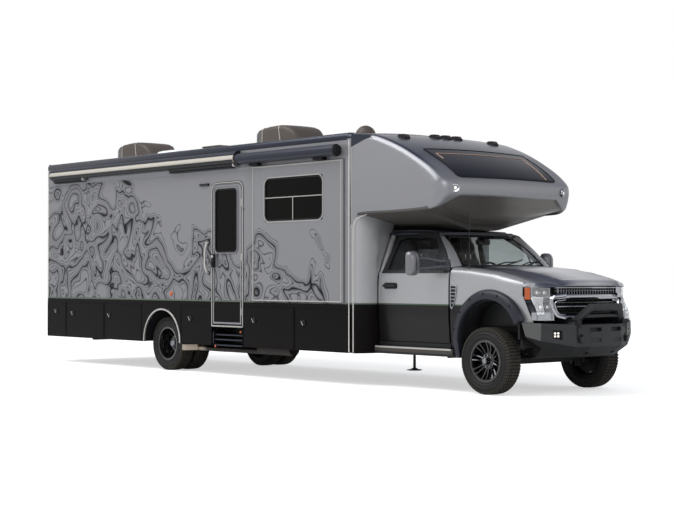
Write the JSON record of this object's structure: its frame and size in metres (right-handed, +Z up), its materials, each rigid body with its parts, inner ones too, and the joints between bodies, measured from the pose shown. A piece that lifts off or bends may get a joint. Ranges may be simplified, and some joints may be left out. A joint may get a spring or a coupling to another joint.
{
  "type": "motorhome",
  "caption": "Long box-bodied motorhome on a conventional truck cab, with over-cab bunk, roof cooling units, awnings, slide-out room and storage hatches.",
  "frame": {"origin": "on the ground at the middle of the vehicle's length and width", "axes": "+X forward along the vehicle, +Y to the driver's (left) side, +Z up"},
  "size_m": [11.46, 2.92, 3.78],
  "materials": {
    "body_silver": "metallic gloss paint",
    "body_black": "gloss paint",
    "window_glass": "tinted",
    "tyre_rubber": "matt",
    "wheel_black": "gloss",
    "chassis_steel": "painted",
    "exhaust_steel": "brushed",
    "grille_chrome": "polished",
    "lamp_lens": "clear",
    "bumper_black": "textured powder coat",
    "trim_plastic": "grained",
    "seat_fabric": "woven",
    "roof_membrane": "satin",
    "roof_plastic": "moulded",
    "awning_fabric": "coated",
    "ladder_aluminium": "satin",
    "floor_wood": "laminate"
  },
  "bodies": {
    "chassis": {"frame_rails": "chassis_steel", "engine_block": "chassis_steel", "front_axle_beam": "chassis_steel", "rear_axle_housing": "chassis_steel", "exhaust_pipe": "exhaust_steel", "hitch_receiver": "chassis_steel", "leveling_jacks": "chassis_steel", "house_floor": "floor_wood", "right_wall": "body_silver", "left_wall": "body_silver", "end_walls": "body_silver", "roof": "roof_membrane", "front_cap": "body_silver", "fixed_windows": "window_glass", "lower_body": "body_black", "air_conditioners": "roof_plastic", "roof_fittings": "roof_plastic", "patio_awning": "awning_fabric", "cab_side_panels": "body_silver", "cab_shell": "body_silver", "dashboard": "trim_plastic", "seats": "seat_fabric", "front_fenders": "body_silver", "grille": "grille_chrome", "lamps": "lamp_lens", "front_bumper": "bumper_black", "steps": "trim_plastic", "rear_bumper": "bumper_black", "rear_ladder": "ladder_aluminium"},
    "left_steering": {"left_knuckle": "chassis_steel"},
    "right_steering": {"right_knuckle": "chassis_steel"},
    "left_front_wheel": {"left_front_tyre": "tyre_rubber", "left_front_rim": "wheel_black"},
    "right_front_wheel": {"right_front_tyre": "tyre_rubber", "right_front_rim": "wheel_black"},
    "left_rear_wheels": {"left_rear_tyres": "tyre_rubber", "left_rear_rims": "wheel_black"},
    "right_rear_wheels": {"right_rear_tyres": "tyre_rubber", "right_rear_rims": "wheel_black"},
    "driver_door": {"left_cab_door": "body_silver", "left_cab_door_glass": "window_glass", "left_mirror": "trim_plastic"},
    "passenger_door": {"right_cab_door": "body_silver", "right_cab_door_glass": "window_glass", "right_mirror": "trim_plastic"},
    "hood_lid": {"hood": "body_silver"},
    "house_door": {"entry_door": "body_silver", "entry_door_window": "window_glass"},
    "slide_out": {"slide_out_room": "body_silver", "slide_out_window": "window_glass", "slide_out_awning": "awning_fabric"},
    "right_rear_corner_hatch_lid": {"right_rear_corner_hatch": "body_black"},
    "right_rear_hatch_lid": {"right_rear_hatch": "body_black"},
    "right_mid_hatch_lid": {"right_mid_hatch": "body_black"},
    "right_step_hatch_lid": {"right_step_hatch": "body_black"},
    "right_slide_hatch_lid": {"right_slide_hatch": "body_black"},
    "right_front_hatch_lid": {"right_front_hatch": "body_black"},
    "left_rear_hatch_lid": {"left_rear_hatch": "body_black"},
    "left_front_hatch_lid": {"left_front_hatch": "body_black"}
  },
  "joints": [
    {"name": "left_steer", "type": "hinge", "parent": "chassis", "child": "left_steering", "pos_m": [4.61, 0.8, 0.42], "axis": [0, 0, 1], "range_deg": [-35, 35]},
    {"name": "left_front_roll", "type": "hinge", "parent": "left_steering", "child": "left_front_wheel", "pos_m": [4.61, 0.935, 0.42], "axis": [0, 1, 0], "continuous": true},
    {"name": "left_rear_roll", "type": "hinge", "parent": "chassis", "child": "left_rear_wheels", "pos_m": [-2.12, 0.912, 0.42], "axis": [0, 1, 0], "continuous": true},
    {"name": "right_steer", "type": "hinge", "parent": "chassis", "child": "right_steering", "pos_m": [4.61, -0.8, 0.42], "axis": [0, 0, 1], "range_deg": [-35, 35]},
    {"name": "right_front_roll", "type": "hinge", "parent": "right_steering", "child": "right_front_wheel", "pos_m": [4.61, -0.935, 0.42], "axis": [0, 1, 0], "continuous": true},
    {"name": "right_rear_roll", "type": "hinge", "parent": "chassis", "child": "right_rear_wheels", "pos_m": [-2.12, -0.912, 0.42], "axis": [0, 1, 0], "continuous": true},
    {"name": "driver_door_hinge", "type": "hinge", "parent": "chassis", "child": "driver_door", "pos_m": [3.933, 1, 1.2], "axis": [0, 0, -1], "range_deg": [0, 65]},
    {"name": "passenger_door_hinge", "type": "hinge", "parent": "chassis", "child": "passenger_door", "pos_m": [3.933, -1, 1.2], "axis": [0, 0, 1], "range_deg": [0, 65]},
    {"name": "hood_hinge", "type": "hinge", "parent": "chassis", "child": "hood_lid", "pos_m": [4.28, 0, 1.55], "axis": [0, -1, 0], "range_deg": [0, 45]},
    {"name": "entry_door_hinge", "type": "hinge", "parent": "chassis", "child": "house_door", "pos_m": [-0.043, -1.285, 1.8], "axis": [0, 0, 1], "range_deg": [0, 90]},
    {"name": "slide_out_travel", "type": "slide", "parent": "chassis", "child": "slide_out", "axis": [0, -1, 0], "range_m": [0, 0.54]},
    {"name": "right_rear_corner_hatch_hinge", "type": "hinge", "parent": "chassis", "child": "right_rear_corner_hatch_lid", "pos_m": [-5.3265, -1.285, 1.034], "axis": [-1, 0, 0], "range_deg": [0, 90]},
    {"name": "right_rear_hatch_hinge", "type": "hinge", "parent": "chassis", "child": "right_rear_hatch_lid", "pos_m": [-4.418, -1.285, 1.034], "axis": [-1, 0, 0], "range_deg": [0, 90]},
    {"name": "right_mid_hatch_hinge", "type": "hinge", "parent": "chassis", "child": "right_mid_hatch_lid", "pos_m": [-3.251, -1.285, 1.034], "axis": [-1, 0, 0], "range_deg": [0, 90]},
    {"name": "right_step_hatch_hinge", "type": "hinge", "parent": "chassis", "child": "right_step_hatch_lid", "pos_m": [-1.196, -1.285, 1.034], "axis": [-1, 0, 0], "range_deg": [0, 90]},
    {"name": "right_slide_hatch_hinge", "type": "hinge", "parent": "chassis", "child": "right_slide_hatch_lid", "pos_m": [0.5695, -1.285, 1.034], "axis": [-1, 0, 0], "range_deg": [0, 90]},
    {"name": "right_front_hatch_hinge", "type": "hinge", "parent": "chassis", "child": "right_front_hatch_lid", "pos_m": [1.736, -1.285, 1.034], "axis": [-1, 0, 0], "range_deg": [0, 90]},
    {"name": "left_rear_hatch_hinge", "type": "hinge", "parent": "chassis", "child": "left_rear_hatch_lid", "pos_m": [-3.8595, 1.285, 1.034], "axis": [1, 0, 0], "range_deg": [0, 90]},
    {"name": "left_front_hatch_hinge", "type": "hinge", "parent": "chassis", "child": "left_front_hatch_lid", "pos_m": [1.1325, 1.285, 1.034], "axis": [1, 0, 0], "range_deg": [0, 90]}
  ],
  "couplings": [
    {"joint": "right_steer", "follows": "left_steer", "ratio": 1}
  ]
}
